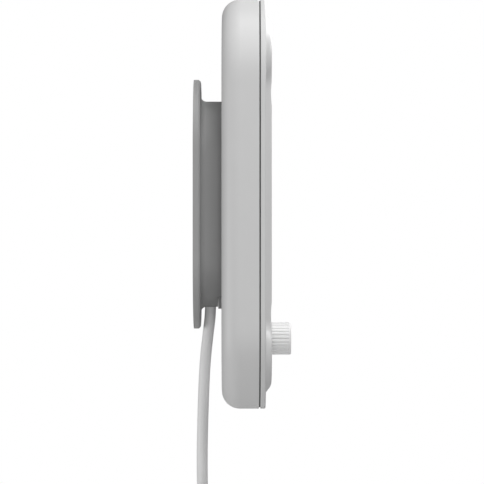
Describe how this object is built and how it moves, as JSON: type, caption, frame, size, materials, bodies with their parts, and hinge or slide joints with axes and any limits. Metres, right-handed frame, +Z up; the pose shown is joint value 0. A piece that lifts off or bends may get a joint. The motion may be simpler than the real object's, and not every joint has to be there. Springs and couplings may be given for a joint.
{
  "type": "video doorbell",
  "caption": "Slim upright video doorbell with round ends on a wall bracket, with a camera window, speaker slots, a knurled push-and-turn knob and a power lead.",
  "frame": {"origin": "centre of the bracket's back face, on the wall, level with the casing's middle", "axes": "+Z up along the casing, +Y into the wall, so the camera and knob face -Y"},
  "size_m": [0.06, 0.0344, 0.2873],
  "materials": {
    "shell_plastic": "fine moulded texture, light grey",
    "panel_plastic": "satin, light grey",
    "knob_plastic": "satin, near white",
    "bracket_plastic": "fine moulded texture, mid grey",
    "soft_rubber": "matt black",
    "window_glass": "polished",
    "mask_film": "black print",
    "milky_plastic": "milky",
    "light_guide": "frosted",
    "button_plastic": "satin grey",
    "black_plastic": "satin black",
    "circuit_board": "solder mask",
    "chip_plastic": "moulded package",
    "led_white": "clear resin",
    "screw_steel": "zinc plated",
    "bright_metal": "tinned",
    "gold_contact": "gold plated",
    "battery_foil": "foil pouch",
    "cone_paper": "pressed film",
    "acoustic_mesh": "woven",
    "ribbon_film": "amber film",
    "cord_jacket": "light grey jacket",
    "wire_jacket": "insulated",
    "strap_fabric": "hook and loop"
  },
  "bodies": {
    "housing": {"rear_shell": "shell_plastic", "front_plate": "shell_plastic", "face_panel": "panel_plastic", "wall_bracket": "bracket_plastic", "seam_gasket": "soft_rubber", "shaft_seal": "soft_rubber", "cord_gland": "soft_rubber", "microphone_boot": "soft_rubber", "speaker_gasket": "soft_rubber", "camera_window": "window_glass", "front_element": "window_glass", "rear_element": "window_glass", "window_mask": "mask_film", "motion_lens": "milky_plastic", "light_ring": "light_guide", "lens_barrel": "black_plastic", "lens_holder": "black_plastic", "encoder_body": "black_plastic", "contact_block": "black_plastic", "speaker_box": "black_plastic", "speaker_frame": "black_plastic", "plug_tongue": "black_plastic", "reset_switch": "black_plastic", "main_board": "circuit_board", "camera_board": "circuit_board", "led_board": "circuit_board", "encoder_board": "circuit_board", "wifi_antenna": "circuit_board", "board_chips": "chip_plastic", "image_sensor": "chip_plastic", "microphone": "chip_plastic", "status_leds": "led_white", "infrared_leds": "led_white", "case_screws": "screw_steel", "board_screws": "screw_steel", "latch_springs": "screw_steel", "camera_frame": "screw_steel", "shield_cans": "bright_metal", "motion_sensor": "bright_metal", "plug_shell": "bright_metal", "speaker_magnet": "bright_metal", "contact_pads": "gold_contact", "switch_dome": "gold_contact", "backup_battery": "battery_foil", "speaker_cone": "cone_paper", "speaker_mesh": "acoustic_mesh", "camera_ribbon": "ribbon_film", "cord": "cord_jacket", "cord_coil": "cord_jacket", "cord_tail": "cord_jacket", "plug_relief": "cord_jacket", "plug_body": "cord_jacket", "lead_wires": "wire_jacket", "cord_tie": "strap_fabric"},
    "latch": {"release_tab": "bracket_plastic"},
    "reset": {"reset_button": "button_plastic"},
    "rotor": {"encoder_rotor": "black_plastic"},
    "knob": {"knob_cap": "knob_plastic", "encoder_shaft": "bright_metal"},
    "pins": {"contact_pins": "gold_contact"}
  },
  "joints": [
    {"name": "knob_turn", "type": "hinge", "parent": "housing", "child": "rotor", "pos_m": [0, -0.02, -0.0476], "axis": [0, -1, 0], "continuous": true},
    {"name": "knob_press", "type": "slide", "parent": "rotor", "child": "knob", "axis": [0, 1, 0], "range_m": [0, 0.0005], "stiffness_N_per_m": 6000},
    {"name": "latch_press", "type": "slide", "parent": "housing", "child": "latch", "axis": [0, 0, 1], "range_m": [0, 0.0012], "stiffness_N_per_m": 2000, "deforming": ["latch_springs"]},
    {"name": "reset_press", "type": "slide", "parent": "housing", "child": "reset", "axis": [0, -1, 0], "range_m": [0, 0.0006], "stiffness_N_per_m": 3000},
    {"name": "pins_press", "type": "slide", "parent": "housing", "child": "pins", "axis": [0, 1, 0], "range_m": [0, 0.0005], "stiffness_N_per_m": 800}
  ]
}
